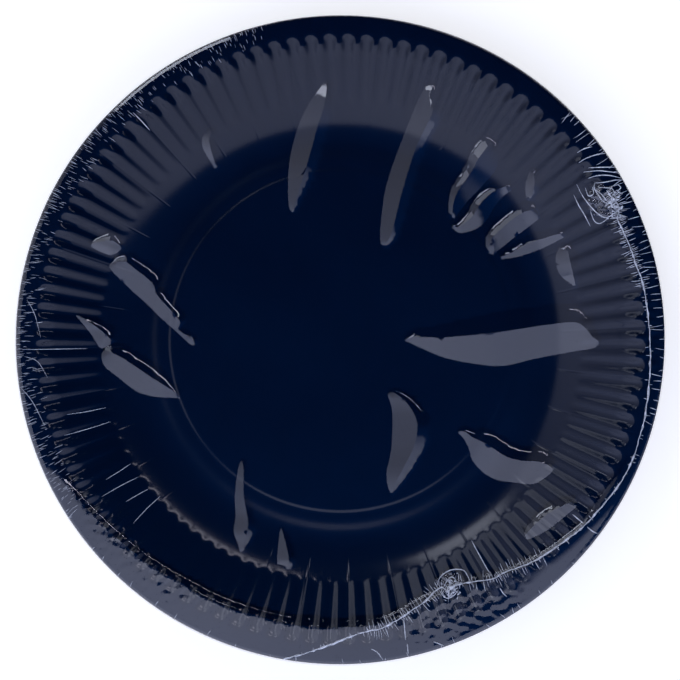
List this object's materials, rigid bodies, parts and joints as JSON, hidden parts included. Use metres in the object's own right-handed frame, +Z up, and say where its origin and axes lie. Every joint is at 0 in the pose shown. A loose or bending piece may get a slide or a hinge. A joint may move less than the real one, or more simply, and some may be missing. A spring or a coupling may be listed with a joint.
{
  "type": "stack of paper plates",
  "caption": "Stack of round paper plates with fluted sloping walls and plain turned-down rims, nested and shrink-wrapped in clear film.",
  "frame": {"origin": "centre of the flat underside that the stack lies on", "axes": "+Z up along the stack's axis; the film's two gathered corners lie towards +X, one on the +Y side and one on the -Y side"},
  "size_m": [0.2314, 0.2314, 0.03],
  "materials": {
    "navy_coated_paper": "glossy coated paperboard",
    "clear_film": "clear glossy shrink film"
  },
  "bodies": {
    "root": {"plate_1": "navy_coated_paper", "plate_2": "navy_coated_paper", "plate_3": "navy_coated_paper", "plate_4": "navy_coated_paper", "plate_5": "navy_coated_paper", "plate_6": "navy_coated_paper", "plate_7": "navy_coated_paper", "plate_8": "navy_coated_paper", "shrink_film": "clear_film"}
  },
  "joints": []
}
